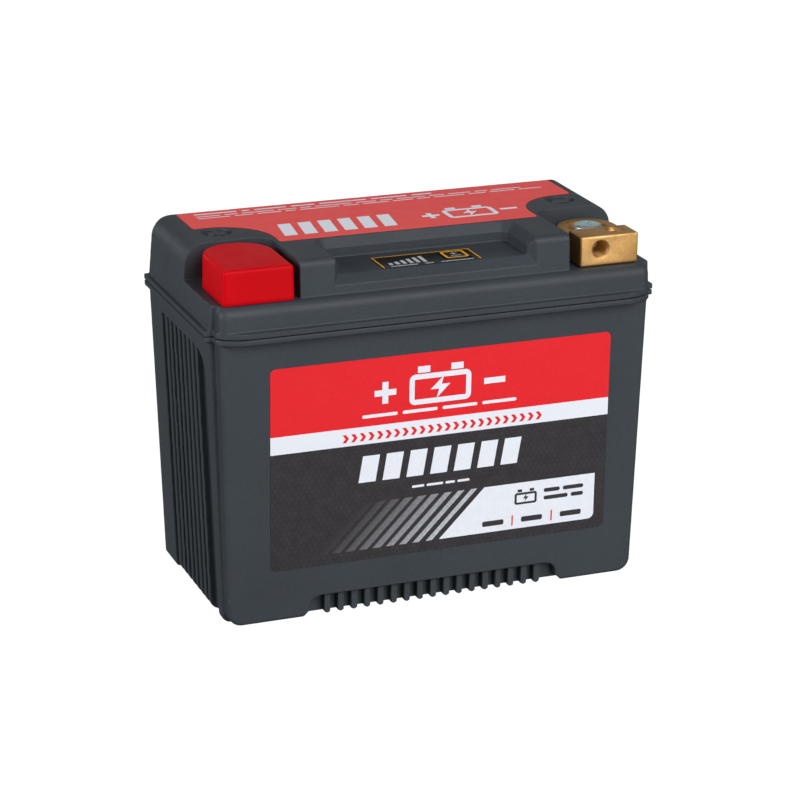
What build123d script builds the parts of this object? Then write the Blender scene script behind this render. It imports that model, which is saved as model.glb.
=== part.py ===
from build123d import *
import os
from math import atan, cos, degrees, radians

# A 12 V lithium iron phosphate motorcycle battery. +X runs along the front, +Y to the back
# and +Z up. The origin is the middle of the underside. All lengths are in millimetres.

# ---------------------------------------------------------------- driving dimensions
LENGTH = 166.0              # over the joint flanges, along X
DEPTH = 86.0                # over the joint flanges, along Y
HEIGHT = 130.0              # underside to the top label
JOINT_Z = 106.0             # where the lid meets the case
JOINT_GAP = 0.4
FLANGE_THICK = 1.9
FLANGE_END_Y = (-35.0, 38.0)   # front and back of the flange on the two ends
FLANGE_PAD_X = 80.1         # half-length of the flange on the long faces
FLANGE_ARC = 13.2           # plan radius where the long flanges curve back
CASE_X = (77.7, 81.6)       # half-length of the case at its underside and at the joint
CASE_FRONT = (33.0, 34.3)   # depth of its end posts from the middle to the front
CASE_BACK = (37.3, 37.3)    # and from the middle to the back
POST_ROUND = 0.9
PAD_ROUND = 1.2
PAD_X = (76.6, 79.1)        # raised panels on the long faces
PAD_Y = (37.6, 39.7)
CASE_CORNER = 3.6           # rounding of the case's bottom ends, seen from the front
HEEL_CORNER = 1.6           # the same rounding behind the ribbed panels
PAD_CORNER = 5.0
WALL = 2.4
LID_WALL = 2.2

RIB_RECESS_Y = (-29.0, 22.6)   # ribbed panel on each end face
RIB_RECESS_ROUND = (1.5, 10.0)  # rounding of its upper corners, at the back and at the front
RIB_RECESS_TOP = 98.0
RIB_RECESS_DEPTH = 2.5
END_RIBS = 8
END_RIB_PITCH = 5.16
END_RIB_WIDTH = 2.5
END_RIB_FIRST_Y = 17.6

GRIP_HALF = 47.0            # hold-down recess along the foot of each long face
GRIP_HEIGHT = 7.6
GRIP_RIBS = 17
GRIP_RIB_PITCH = 5.0
GRIP_RIB_WIDTH = 2.3
GRIP_RIB_Y = 36.4
GRIP_SHOULDER = 4.2
GRIP_FOOT = 2.4             # slope at each end of the recess

LABEL_THICK = 0.2
LID_TOP = HEIGHT - LABEL_THICK
LID_END_X = (81.5, 79.8)    # half-length of the lid at the joint and at the top
LID_END_Y = -35.2           # front of the lid's two ends
LID_END_ROUND = 8.0
STEP_Z = 116.8              # front and back ledges, and the floors of the terminal pockets
LEDGE_Y = 41.0
LEDGE_ROUND = 3.8
LEDGE_X = 79.3
LEDGE_END_ROUND = 3.0
BLOCK_Y = (37.5, 36.6)      # half-depth of the raised block at the ledge and at the top
BLOCK_ROUND = 2.6
POCKET_X = 49.7             # inner wall of each terminal pocket
POCKET_Y = -3.6             # back wall of each terminal pocket
POCKET_ROUND = 5.5
WELL_X = 37.4               # recess for the charge indicator
WELL_Y = -12.0
WELL_FLOOR = 123.0
WELL_LIP_Z = 126.5
WELL_INSET = 2.5
WELL_FRONT_Y = -33.2        # where its floor starts to slope down to the front
WELL_MOUTH_X = 37.6         # half-width and height of its open front
WELL_MOUTH_Z = 119.6
WELL_ROUND = 5.0

TERMINAL_X = 65.3
RING_Y = -17.0
RING_RADIUS = 11.0
RING_TOP = 126.0
BLOCK_WIDTH = 22.2
BLOCK_FRONT_Y = -36.0
BLOCK_BACK_Y = -25.0
BLOCK_TOP = 127.9
TERMINAL_BASE = 116.9
FRONT_HOLE_SHIFT = -3.4     # from the terminal's middle, towards the battery's middle
TOP_HOLE_SHIFT = 4.6
TOP_HOLE_Y = -29.8
FRONT_HOLE_Z = 123.0
TAP_RADIUS = 2.6            # bore of an M6 thread
HOLE_CHAMFER = 0.8
FRONT_HOLE_DEPTH = 9.0
COUNTERBORE_RADIUS = 7.2
COUNTERBORE_Z = 122.8
SCREW_RADIUS = 3.0
WASHER_THICK = 0.9
SCREW_HEAD_RADIUS = 5.4
SCREW_TOP = 127.1
INSERT_RADIUS = 5.0
INSERT_BASE = 108.0

CAP_WIDTH = 25.4
CAP_X = -64.7
CAP_FRONT_Y = -38.5
CAP_RADIUS = 12.65
CAP_TOP = 129.3
CAP_BASE = 116.95
CAP_WALL = 0.7
FIT_GAP = 0.3

FRONT_LABEL_X = (-61.5, 65.1)
FRONT_LABEL_Z = (19.1, 93.5)
CHARGE_LABEL_X = 18.4
CHARGE_LABEL_Y = (-33.0, -19.7)
BUTTON_X = 10.6
BUTTON_Y = -26.0
BUTTON_SIZE = (9.2, 8.4)
BUTTON_TRAVEL = 0.4
BUTTON_BASE = 121.6
BOARD_TOP = 118.8           # upper face of the indicator board
LIGHTS = 6
LIGHT_FIRST_X = -14.4
LIGHT_PITCH = 2.5
LIGHT_Y = -29.6
INDICATOR_POSTS = ((-27.0, -20.0), (27.0, -20.0))
MARK_Y = 7.2                # polarity marks
MARK_RADIUS = 5.3
MARK_DEPTH = 0.9
MARK_BAR = (6.4, 1.5)

TOP_LABEL_Y = (-11.5, 33.5)
TOP_LABEL_HALF = 72.0
TOP_LABEL_WAIST = 48.2
TOP_LABEL_SHOULDER = 13.4
TOP_LABEL_SWEEP = 18.4

CELLS = 4
CELL_SIZE = (31.0, 58.0, 88.0)
CELL_GAP = 1.5
CELL_BASE = 5.6
TAB_Y = 17.0
TAB_SIZE = (12.0, 12.0, 3.0)
LINK_THICK = 1.2
FLOOR_Z = 2.6
BOARD_Z = 101.0
BOARD_THICK = 1.6
BOARD_X = 52.0
BOARD_Y = (-10.0, 22.0)
STANDOFFS = [(x, y) for x in (-46.0, 46.0) for y in (-5.0, 5.0)]

CELL_TOP = CELL_BASE + CELL_SIZE[2]
LINK_Z = CELL_TOP + TAB_SIZE[2]
CELL_PITCH = CELL_SIZE[0] + CELL_GAP
STACK_HALF = (CELLS * CELL_SIZE[0] + (CELLS - 1) * CELL_GAP) / 2
SIDES = (-1, 1)
FAR = 200.0


# ---------------------------------------------------------------- helpers
def leaning(pair, z):
    """A half-size at height z, for a wall that leans between the underside and the joint."""
    return pair[0] + (pair[1] - pair[0]) * z / JOINT_Z


def box_between(low, high):
    """A box from its lowest to its highest corner."""
    size = [b - a for a, b in zip(low, high)]
    middle = [(a + b) / 2 for a, b in zip(low, high)]
    return Pos(*middle) * Box(*size)


def rod(radius, x, y, z0, z1):
    """An upright cylinder."""
    return Pos(x, y, (z0 + z1) / 2) * Cylinder(radius, z1 - z0)


def side_view(points):
    """A closed outline in Y and Z, drawn through to a very long bar along X."""
    return extrude(Plane.YZ * Polygon(*points, align=None), amount=FAR, both=True)


def front_view(sketch):
    """An outline in X and Z, drawn through to a very long bar along Y."""
    return extrude(Plane.XZ * sketch, amount=FAR, both=True)


def leaning_block(xs, front, back, corner, inset_x=0.0, inset_y=0.0, base=0.0, top=JOINT_Z):
    """A block whose four walls lean outwards, with rounded bottom ends seen from the front."""
    x0, x1 = leaning(xs, base) - inset_x, leaning(xs, top) - inset_x
    front0, front1 = inset_y - leaning(front, base), inset_y - leaning(front, top)
    back0, back1 = leaning(back, base) - inset_y, leaning(back, top) - inset_y
    end = Polygon((-x0, base), (x0, base), (x1, top), (-x1, top), align=None)
    if corner > 0:
        end = fillet(end.vertices().sort_by(Axis.Y)[:2], corner)
    side = side_view([(front0, base), (back0, base), (back1, top), (front1, top)])
    return front_view(end) & side


def outer_face_edges(solid, axis):
    """The edges of a solid's two outermost faces along an axis."""
    faces = solid.faces().sort_by(axis)
    return faces[0].edges() + faces[-1].edges()


def group(solids):
    """Several separate solids that share one node."""
    return Compound(children=list(solids))


# ---------------------------------------------------------------- case
def flange(inset, z0, z1):
    """The joint flange: straight on the ends, stepped at the corners, curved into the fronts."""
    long_side = RectangleRounded(2 * (70 + FLANGE_ARC - inset), DEPTH - 2 * inset, FLANGE_ARC - inset)
    long_side &= Rectangle(2 * (FLANGE_PAD_X - inset), DEPTH)
    y0, y1 = FLANGE_END_Y[0] + inset, FLANGE_END_Y[1] - inset
    outline = long_side + Pos(0, (y0 + y1) / 2) * Rectangle(LENGTH - 2 * inset, y1 - y0)
    return Pos(0, 0, z0) * extrude(outline, amount=z1 - z0)


def grip_outline():
    """The hold-down recess seen from the front: sloped feet, a rounded shoulder and a flat top."""
    half = GRIP_HALF + GRIP_FOOT
    outline = Polygon(
        (-half, -1), (-half, 0), (-GRIP_HALF, GRIP_FOOT), (-GRIP_HALF, GRIP_HEIGHT),
        (GRIP_HALF, GRIP_HEIGHT), (GRIP_HALF, GRIP_FOOT), (half, 0), (half, -1), align=None)
    return fillet(outline.vertices().sort_by(Axis.Y)[-2:], GRIP_SHOULDER)


def grip_cutter():
    """Both hold-down recesses, with their ribs left standing."""
    core = box_between((-FAR, -CASE_FRONT[0], -FAR), (FAR, CASE_FRONT[0], FAR))
    cutter = front_view(grip_outline()) - core
    for rib in range(GRIP_RIBS):
        x = (rib - (GRIP_RIBS - 1) / 2) * GRIP_RIB_PITCH
        face = Pos(x, GRIP_HEIGHT / 2 + 0.5) * Rectangle(GRIP_RIB_WIDTH, GRIP_HEIGHT + 1)
        face = fillet(face.vertices().sort_by(Axis.Y)[:2], 0.9)
        cutter -= extrude(Plane.XZ * face, amount=GRIP_RIB_Y, both=True)
    return cutter


def rib_panel_cutter():
    """The recessed, ribbed panel on both end faces, open at the underside."""
    y0, y1 = RIB_RECESS_Y
    outline = Polygon((y0, -2), (y1, -2), (y1, RIB_RECESS_TOP), (y0, RIB_RECESS_TOP), align=None)
    for corner, radius in zip(((y1, RIB_RECESS_TOP), (y0, RIB_RECESS_TOP)), RIB_RECESS_ROUND):
        outline = fillet(outline.vertices().sort_by_distance(corner)[0], radius)
    panel = extrude(Plane.YZ * outline, amount=FAR, both=True)
    far = (FAR, FAR)
    panel -= leaning_block(CASE_X, far, far, 0, inset_x=RIB_RECESS_DEPTH, base=-3.0)
    for rib in range(END_RIBS):
        y = END_RIB_FIRST_Y - rib * END_RIB_PITCH
        panel -= box_between((-FAR, y - END_RIB_WIDTH / 2, -3), (FAR, y + END_RIB_WIDTH / 2, FAR))
    return panel


def case_inside(inset):
    """The hollow of the case, behind walls of the given thickness."""
    end_wall = inset + RIB_RECESS_DEPTH - 0.4
    hollow = leaning_block(
        CASE_X, CASE_FRONT, CASE_FRONT, 4.0, end_wall, inset, FLOOR_Z, JOINT_Z + 3)
    pad = leaning_block(
        PAD_X, PAD_Y, PAD_Y, 3.0, inset + 0.6, inset, GRIP_HEIGHT + WALL, JOINT_Z + 3)
    return hollow + pad


def end_posts():
    """The case without its raised panels: two blocks that meet behind the ribbed end panels."""
    seam = RIB_RECESS_Y[1]
    front = leaning_block(CASE_X, CASE_FRONT, (seam, seam), CASE_CORNER)
    front = fillet(front.faces().sort_by(Axis.Y)[0].edges(), POST_ROUND)
    back = leaning_block(CASE_X, (-seam, -seam), CASE_BACK, HEEL_CORNER)
    back = fillet(back.faces().sort_by(Axis.Y)[-1].edges(), POST_ROUND)
    return front + back


def make_case():
    flange_top = JOINT_Z - JOINT_GAP / 2
    posts = end_posts()
    pad = leaning_block(PAD_X, PAD_Y, PAD_Y, PAD_CORNER)
    pad = fillet(outer_face_edges(pad, Axis.Y), PAD_ROUND)
    body = posts + pad
    body &= box_between((-FAR, -FAR, 0), (FAR, FAR, flange_top))
    body -= rib_panel_cutter()
    body -= grip_cutter()
    body += flange(0, flange_top - FLANGE_THICK, flange_top)
    return body - case_inside(WALL)


# ---------------------------------------------------------------- lid
def lid_shape(inset):
    """The outside of the lid for inset 0, and the hollow inside it for its wall thickness."""
    base = JOINT_Z + JOINT_GAP / 2
    top = LID_TOP - inset
    x0, x1 = LID_END_X[0] - inset, LID_END_X[1] - inset
    end = Polygon((-x0, base), (x0, base), (x1, top), (-x1, top), align=None)
    end = fillet(end.vertices().sort_by(Axis.Y)[-2:], LID_END_ROUND - inset)
    y0, y1 = BLOCK_Y[0] - inset, BLOCK_Y[1] - inset
    slice_yz = Polygon((-y0, base), (y0, base), (y1, top), (-y1, top), align=None)
    slice_yz = fillet(slice_yz.vertices().sort_by(Axis.Y)[-2:], max(BLOCK_ROUND - inset, 0.4))
    block = front_view(end) & extrude(Plane.YZ * slice_yz, amount=FAR, both=True)
    narrow = LEDGE_X - inset
    block &= box_between((-narrow, -FAR, 0), (narrow, FAR, FAR)) + box_between(
        (-FAR, LID_END_Y + inset, 0), (FAR, FAR, FAR))
    ledge_yz = Polygon(
        (inset - LEDGE_Y - 0.2, base), (LEDGE_Y + 0.2 - inset, base),
        (LEDGE_Y - inset, STEP_Z - inset), (inset - LEDGE_Y, STEP_Z - inset), align=None)
    ledge_yz = fillet(ledge_yz.vertices().sort_by(Axis.Y)[-2:], LEDGE_ROUND - inset)
    ledge = extrude(Plane.YZ * ledge_yz, amount=LEDGE_X - inset, both=True)
    if inset == 0:
        rims = outer_face_edges(ledge, Axis.X).filter_by(lambda e: e.center().Z > base + 1)
        ledge = fillet(rims, LEDGE_END_ROUND)
    return block + ledge


def pocket_cutter(inset):
    """The two terminal pockets, open to the front, the end and above."""
    middle = (POCKET_X - inset + FAR / 2, POCKET_Y + inset - FAR / 2)
    outline = Pos(*middle) * Rectangle(FAR, FAR)
    inner_back = outline.vertices().sort_by(Axis.X)[:2].sort_by(Axis.Y)[-1]
    outline = fillet(inner_back, POCKET_ROUND + inset)
    pocket = Pos(0, 0, STEP_Z - inset) * extrude(outline, amount=FAR)
    return pocket + mirror(pocket, Plane.YZ)


def well_outline(half, back, rounding):
    """The indicator recess in plan: open to the front, with rounded back corners."""
    outline = Pos(0, back - FAR / 2) * Rectangle(2 * half, FAR)
    return fillet(outline.vertices().sort_by(Axis.Y)[-2:], rounding)


def well_cutter():
    """The indicator recess: a sloping band, an upright wall, a flat floor and a flared mouth."""
    depth = LID_TOP - WELL_LIP_Z
    outline = well_outline(WELL_X - WELL_INSET, WELL_Y - WELL_INSET, WELL_ROUND - WELL_INSET)
    spread = -degrees(atan(WELL_INSET / depth))
    band = extrude(Pos(0, 0, WELL_LIP_Z) * outline, amount=depth + 1, taper=spread)
    floor = extrude(Pos(0, 0, WELL_FLOOR) * outline, amount=FAR)
    floor &= box_between((-FAR, -FAR, 0), (FAR, FAR, WELL_LIP_Z + 0.01))
    inner, mouth = WELL_X - WELL_INSET, WELL_MOUTH_X
    plan = Polygon(
        (-inner, WELL_FRONT_Y), (-mouth, -BLOCK_Y[0]), (-mouth, -FAR),
        (mouth, -FAR), (mouth, -BLOCK_Y[0]), (inner, WELL_FRONT_Y), align=None)
    flare = extrude(plan, amount=FAR, dir=(0, 0, 1))
    flare &= side_view([
        (WELL_FRONT_Y, WELL_FLOOR), (-BLOCK_Y[0], WELL_MOUTH_Z), (-FAR, WELL_MOUTH_Z),
        (-FAR, FAR), (WELL_FRONT_Y, FAR)])
    floor &= box_between((-FAR, WELL_FRONT_Y, 0), (FAR, FAR, FAR))
    return band + floor + flare


def well_underside():
    """What the lid's hollow leaves for the recess and its wall."""
    back = WELL_Y + LID_WALL
    floor = WELL_FLOOR - LID_WALL
    front = WELL_FRONT_Y + 1.0
    bar = side_view([
        (back, FAR), (back, floor), (front, floor), (LID_WALL + 0.6 - BLOCK_Y[0], STEP_Z - LID_WALL),
        (-FAR, STEP_Z - LID_WALL), (-FAR, FAR)])
    return bar & box_between((-WELL_X - LID_WALL, -FAR, 0), (WELL_X + LID_WALL, FAR, FAR))


def polarity_mark(side):
    """A shallow round recess with a raised plus on the left or a raised minus on the right."""
    length, width = MARK_BAR
    middle = Pos(side * TERMINAL_X, MARK_Y, LID_TOP - MARK_DEPTH / 2)
    disc = rod(MARK_RADIUS, side * TERMINAL_X, MARK_Y, LID_TOP - MARK_DEPTH, LID_TOP + 1)
    disc -= middle * Box(length, width, MARK_DEPTH)
    if side < 0:
        disc -= middle * Box(width, length, MARK_DEPTH)
    return disc


def make_lid():
    base = JOINT_Z + JOINT_GAP / 2
    shell = lid_shape(0) - pocket_cutter(0) - well_cutter()
    shell += flange(0, base, base + FLANGE_THICK)
    hollow = lid_shape(LID_WALL) - pocket_cutter(LID_WALL) - well_underside()
    shell -= hollow
    inner = case_inside(WALL + 1.8)
    lip = case_inside(WALL + 0.2) - inner
    shell += lip & box_between((-FAR, -FAR, base - 3.6), (FAR, FAR, base + 0.8))
    shell += flange(0.5, base, base + 1.3) - inner
    for side in SIDES:
        x = side * TERMINAL_X
        shell += rod(INSERT_RADIUS + 2.6, x, RING_Y, INSERT_BASE + 1.2, STEP_Z - LID_WALL + 0.5)
        shell -= rod(INSERT_RADIUS, x, RING_Y, 0, FAR)
        shell -= polarity_mark(side)
    for x in light_xs():
        shell -= Pos(x, LIGHT_Y, WELL_FLOOR - 1) * Box(1.4, 2.4, 6)
    button_hole = Box(BUTTON_SIZE[0] + 2 * FIT_GAP, BUTTON_SIZE[1] + 2 * FIT_GAP, 12)
    shell -= Pos(BUTTON_X, BUTTON_Y, WELL_FLOOR) * button_hole
    for x, y in INDICATOR_POSTS:
        shell += rod(2.4, x, y, BOARD_TOP, WELL_FLOOR - LID_WALL + 0.5)
        shell -= rod(0.9, x, y, BOARD_TOP - 1, WELL_FLOOR - LID_WALL - 0.3)
    return shell


# ---------------------------------------------------------------- terminals
def make_terminal(side):
    """A brass corner terminal: a block tapped from the front and the top, with a bolted ring."""
    x = side * TERMINAL_X
    half = BLOCK_WIDTH / 2
    block = box_between(
        (x - half, BLOCK_FRONT_Y, TERMINAL_BASE), (x + half, BLOCK_BACK_Y, BLOCK_TOP))
    block = chamfer(block.edges(), 0.5)
    ring = rod(RING_RADIUS, x, RING_Y, TERMINAL_BASE, RING_TOP)
    ring += box_between(
        (x - RING_RADIUS, BLOCK_BACK_Y - 1, TERMINAL_BASE), (x + RING_RADIUS, RING_Y, RING_TOP))
    ring = chamfer(ring.faces().sort_by(Axis.Z)[-1].edges(), 0.4)
    body = ring + block
    body -= rod(COUNTERBORE_RADIUS, x, RING_Y, COUNTERBORE_Z, FAR)
    body -= rod(SCREW_RADIUS + 0.2, x, RING_Y, 0, FAR)
    front_x = x + side * FRONT_HOLE_SHIFT
    mouth = TAP_RADIUS + HOLE_CHAMFER
    bore = Cylinder(TAP_RADIUS, FRONT_HOLE_DEPTH, align=(Align.CENTER, Align.CENTER, Align.MIN))
    bore += Cone(mouth, TAP_RADIUS, HOLE_CHAMFER, align=(Align.CENTER, Align.CENTER, Align.MIN))
    body -= Pos(front_x, BLOCK_FRONT_Y, FRONT_HOLE_Z) * Rot(-90, 0, 0) * bore
    top_x = x + side * TOP_HOLE_SHIFT
    body -= rod(TAP_RADIUS, top_x, TOP_HOLE_Y, 0, FAR)
    body -= Pos(top_x, TOP_HOLE_Y, BLOCK_TOP) * Cone(
        TAP_RADIUS, mouth, HOLE_CHAMFER, align=(Align.CENTER, Align.CENTER, Align.MAX))
    return body


def make_screw(side):
    """A pan-head cross-recess screw that holds a terminal down on its insert."""
    x = side * TERMINAL_X
    seat = COUNTERBORE_Z + WASHER_THICK
    head = rod(SCREW_HEAD_RADIUS, x, RING_Y, seat, SCREW_TOP)
    head = fillet(head.faces().sort_by(Axis.Z)[-1].edges(), 1.6)
    head -= Pos(x, RING_Y, SCREW_TOP) * Box(6.0, 1.1, 3.2)
    head -= Pos(x, RING_Y, SCREW_TOP) * Box(1.1, 6.0, 3.2)
    return head + rod(SCREW_RADIUS, x, RING_Y, INSERT_BASE + 1, seat)


def make_washer(side):
    """The split washer under a terminal screw."""
    x = side * TERMINAL_X
    disc = rod(COUNTERBORE_RADIUS - 0.9, x, RING_Y, COUNTERBORE_Z, COUNTERBORE_Z + WASHER_THICK)
    return disc - rod(SCREW_RADIUS, x, RING_Y, 0, FAR)


def make_insert(side):
    """A brass insert moulded into the floor of a terminal pocket, under the terminal's ring."""
    x = side * TERMINAL_X
    body = rod(INSERT_RADIUS, x, RING_Y, INSERT_BASE, TERMINAL_BASE)
    return body - rod(SCREW_RADIUS, x, RING_Y, INSERT_BASE + 1, FAR)


def cap_outline(inset):
    """The terminal cap in plan: square at the front and round at the back."""
    width = CAP_WIDTH - 2 * inset
    front = CAP_FRONT_Y + inset
    outline = Pos(CAP_X, (front + RING_Y) / 2) * Rectangle(width, RING_Y - front)
    return outline + Pos(CAP_X, RING_Y) * Circle(CAP_RADIUS - inset)


def make_terminal_cap():
    """The red cap that lifts off the positive terminal."""
    shell = Pos(0, 0, CAP_BASE) * extrude(cap_outline(0), amount=CAP_TOP - CAP_BASE)
    front = shell.edges().filter_by(Axis.Z).sort_by(Axis.Y)[:2]
    shell = fillet(front, 1.2)
    shell = fillet(shell.faces().sort_by(Axis.Z)[-1].edges(), 1.1)
    hollow = extrude(cap_outline(CAP_WALL), amount=CAP_TOP - CAP_WALL - CAP_BASE + 1)
    return shell - Pos(0, 0, CAP_BASE - 1) * hollow


# ---------------------------------------------------------------- labels and charge indicator
def light_xs():
    return [LIGHT_FIRST_X + LIGHT_PITCH * step for step in range(LIGHTS)]


def make_front_label():
    """The front label, a thin sheet on the leaning front panel."""
    lean = degrees(atan((PAD_Y[1] - PAD_Y[0]) / JOINT_Z))
    z = (FRONT_LABEL_Z[0] + FRONT_LABEL_Z[1]) / 2
    x = (FRONT_LABEL_X[0] + FRONT_LABEL_X[1]) / 2
    height = (FRONT_LABEL_Z[1] - FRONT_LABEL_Z[0]) / cos(radians(lean))
    outline = RectangleRounded(FRONT_LABEL_X[1] - FRONT_LABEL_X[0], height, 2.0)
    sheet = extrude(outline, amount=LABEL_THICK)
    return Pos(x, -leaning(PAD_Y, z), z) * Rot(90 + lean, 0, 0) * sheet


def make_top_label():
    """The top label: a long sheet with its two front corners cut round the polarity marks."""
    front, back = TOP_LABEL_Y
    sheet = Pos(0, (back + front) / 2) * Rectangle(2 * TOP_LABEL_HALF, back - front)
    for side in SIDES:
        middle = (side * (TOP_LABEL_WAIST + FAR / 2), TOP_LABEL_SHOULDER - FAR / 2)
        corner = Pos(*middle) * Rectangle(FAR, FAR)
        inner = corner.vertices().sort_by_distance((0, TOP_LABEL_SHOULDER))[0]
        sheet -= fillet(inner, TOP_LABEL_SWEEP)
    tips = sheet.vertices().filter_by(
        lambda v: abs(v.X) > TOP_LABEL_HALF - 1 or v.Y < front + 1)
    sheet = fillet(tips, 1.0)
    return Pos(0, 0, LID_TOP) * extrude(sheet, amount=LABEL_THICK)


def make_charge_label():
    """The overlay film of the charge indicator, with an opening for the button."""
    y0, y1 = CHARGE_LABEL_Y
    film = Pos(0, (y0 + y1) / 2) * RectangleRounded(2 * CHARGE_LABEL_X, y1 - y0, 0.5)
    hole = Rectangle(BUTTON_SIZE[0] + 2 * FIT_GAP, BUTTON_SIZE[1] + 2 * FIT_GAP)
    film -= Pos(BUTTON_X, BUTTON_Y) * hole
    return Pos(0, 0, WELL_FLOOR) * extrude(film, amount=LABEL_THICK)


def make_test_button():
    """The key that lights the charge indicator."""
    key = Pos(BUTTON_X, BUTTON_Y, BUTTON_BASE) * extrude(
        RectangleRounded(BUTTON_SIZE[0], BUTTON_SIZE[1], 1.2), amount=1.9)
    return fillet(key.faces().sort_by(Axis.Z)[-1].edges(), 0.25)


def make_switch_plunger():
    """The switch's plunger, which moves with the button."""
    return rod(1.6, BUTTON_X, BUTTON_Y, BOARD_TOP + 0.4 + 2 * BUTTON_TRAVEL, BUTTON_BASE)


def make_test_switch():
    """The push switch under the button, with room in it for the plunger's travel."""
    body = Pos(BUTTON_X, BUTTON_Y, BOARD_TOP + 1.1) * Box(6.0, 6.0, 2.2)
    return body - rod(1.6 + FIT_GAP, BUTTON_X, BUTTON_Y, BOARD_TOP + 0.4, FAR)


def make_indicator_board():
    board = box_between((-31, -31.0, BOARD_TOP - BOARD_THICK), (31, -16.5, BOARD_TOP))
    for x, y in INDICATOR_POSTS:
        board -= rod(1.1, x, y, 0, FAR)
    return board


def make_charge_lights():
    """Six light-emitting diodes, each with a light guide up to the overlay."""
    lights = []
    for x in light_xs():
        chip = Pos(x, LIGHT_Y, BOARD_TOP + 0.5) * Box(1.6, 2.2, 1.0)
        guide = box_between(
            (x - 0.6, LIGHT_Y - 1.1, BOARD_TOP + 1.0), (x + 0.6, LIGHT_Y + 1.1, WELL_FLOOR))
        lights.append(chip + guide)
    return group(lights)


def make_indicator_screws():
    screws = []
    for x, y in INDICATOR_POSTS:
        head = rod(1.9, x, y, BOARD_TOP - BOARD_THICK - 1.3, BOARD_TOP - BOARD_THICK)
        screws.append(head + rod(0.9, x, y, BOARD_TOP - BOARD_THICK, BOARD_TOP + 1.2))
    return group(screws)


# ---------------------------------------------------------------- cell pack
def cell_x(index):
    return (index - (CELLS - 1) / 2) * CELL_PITCH


def make_cell(index):
    """One prismatic cell with rounded upright edges."""
    body = RectangleRounded(CELL_SIZE[0], CELL_SIZE[1], 3.0)
    return Pos(cell_x(index), 0, CELL_BASE) * extrude(body, amount=CELL_SIZE[2])


def make_cell_tabs():
    """The terminal studs on the cells, two to a cell."""
    tabs = []
    for index in range(CELLS):
        for side in SIDES:
            middle = Pos(cell_x(index), side * TAB_Y, CELL_TOP + TAB_SIZE[2] / 2)
            tabs.append(middle * Box(*TAB_SIZE))
    return group(tabs)


def make_series_links():
    """Plates that join the cells in series, alternately at the back and the front."""
    links = []
    for index in range(CELLS - 1):
        side = 1 if index % 2 == 0 else -1
        low = (cell_x(index) - 6, side * TAB_Y - 6, LINK_Z)
        high = (cell_x(index + 1) + 6, side * TAB_Y + 6, LINK_Z + LINK_THICK)
        links.append(box_between(low, high))
    return group(links)


def make_output_strap(side):
    """A copper strap from an end cell's tab up to the underside of a terminal's insert."""
    tab = side * abs(cell_x(0))
    riser = side * 57.0
    end = side * (TERMINAL_X + 5.5)
    thick = 1.0
    bend = 2.5
    path = FilletPolyline(
        (tab - side * 5.5, LINK_Z + thick / 2), (riser, LINK_Z + thick / 2),
        (riser, INSERT_BASE - thick / 2), (end, INSERT_BASE - thick / 2), radius=bend)
    ribbon = make_face(offset(path, amount=thick / 2, side=Side.BOTH, kind=Kind.INTERSECTION).edges())
    return Pos(0, RING_Y + 6, 0) * extrude(Plane.XZ * ribbon, amount=12)


def make_cell_spacers():
    gaps = []
    for index in range(CELLS - 1):
        x = (cell_x(index) + cell_x(index + 1)) / 2
        gaps.append(box_between((x - CELL_GAP / 2, -27, CELL_BASE), (x + CELL_GAP / 2, 27, CELL_TOP)))
    return group(gaps)


def make_end_pads():
    """Foam blocks that fill the space between the cells and the ends of the case."""
    pads = []
    for side in SIDES:
        x = sorted((side * (STACK_HALF + 0.6), side * (STACK_HALF + 7.6)))
        pads.append(box_between((x[0], -27, CELL_BASE + 2), (x[1], 27, CELL_TOP - 3)))
    return group(pads)


def make_cell_straps():
    """Two bands that hold the cells together."""
    bands = []
    for z in (26.0, 72.0):
        outer = RectangleRounded(2 * STACK_HALF + 1.0, CELL_SIZE[1] + 1.0, 3.5)
        inner = RectangleRounded(2 * STACK_HALF, CELL_SIZE[1], 3.0)
        bands.append(Pos(0, 0, z) * extrude(outer - inner, amount=12))
    return group(bands)


def make_base_pad():
    return box_between((-66, -28, FLOOR_Z), (66, 28, CELL_BASE))


def make_management_board():
    return box_between((-BOARD_X, BOARD_Y[0], BOARD_Z), (BOARD_X, BOARD_Y[1], BOARD_Z + BOARD_THICK))


def make_board_standoffs():
    return group([rod(2.5, x, y, CELL_TOP, BOARD_Z) for x, y in STANDOFFS])


def make_power_transistors():
    """The row of switching transistors on the management board."""
    top = BOARD_Z + BOARD_THICK
    return group([Pos(-37.5 + 15 * n, 14, top + 2.2) * Box(10, 9, 4.4) for n in range(6)])


def make_balance_resistors():
    top = BOARD_Z + BOARD_THICK
    return group([Pos(-30 + 12 * n, 0, top + 0.6) * Box(6.4, 3.2, 1.2) for n in range(6)])


def make_sense_pins():
    """Upright pins between the links and the management board, one on each rear link."""
    pins = []
    for index in (0, 2):
        x = (cell_x(index) + cell_x(index + 1)) / 2
        pins.append(rod(0.8, x, TAB_Y, LINK_Z + LINK_THICK, BOARD_Z))
    return group(pins)


def make_indicator_cable():
    """The flat cable from the management board up to the indicator board."""
    thick = 0.6
    low = BOARD_Z + BOARD_THICK + thick / 2
    high = BOARD_TOP - BOARD_THICK - thick / 2
    path = FilletPolyline((-8.0, low), (-8.0, 110.0), (-24.0, 110.0), (-24.0, high), radius=3.0)
    ribbon = make_face(offset(path, amount=thick / 2, side=Side.BOTH, kind=Kind.INTERSECTION).edges())
    return Pos(24, 0, 0) * extrude(Plane.YZ * ribbon, amount=8)


def make_lid_seal():
    """The sealing strip squeezed between the rim of the case and the lid."""
    z0, z1 = JOINT_Z - JOINT_GAP / 2, JOINT_Z + JOINT_GAP / 2
    return flange(2.0, z0, z1) - flange(3.6, z0 - 1, z1 + 1)


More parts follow.
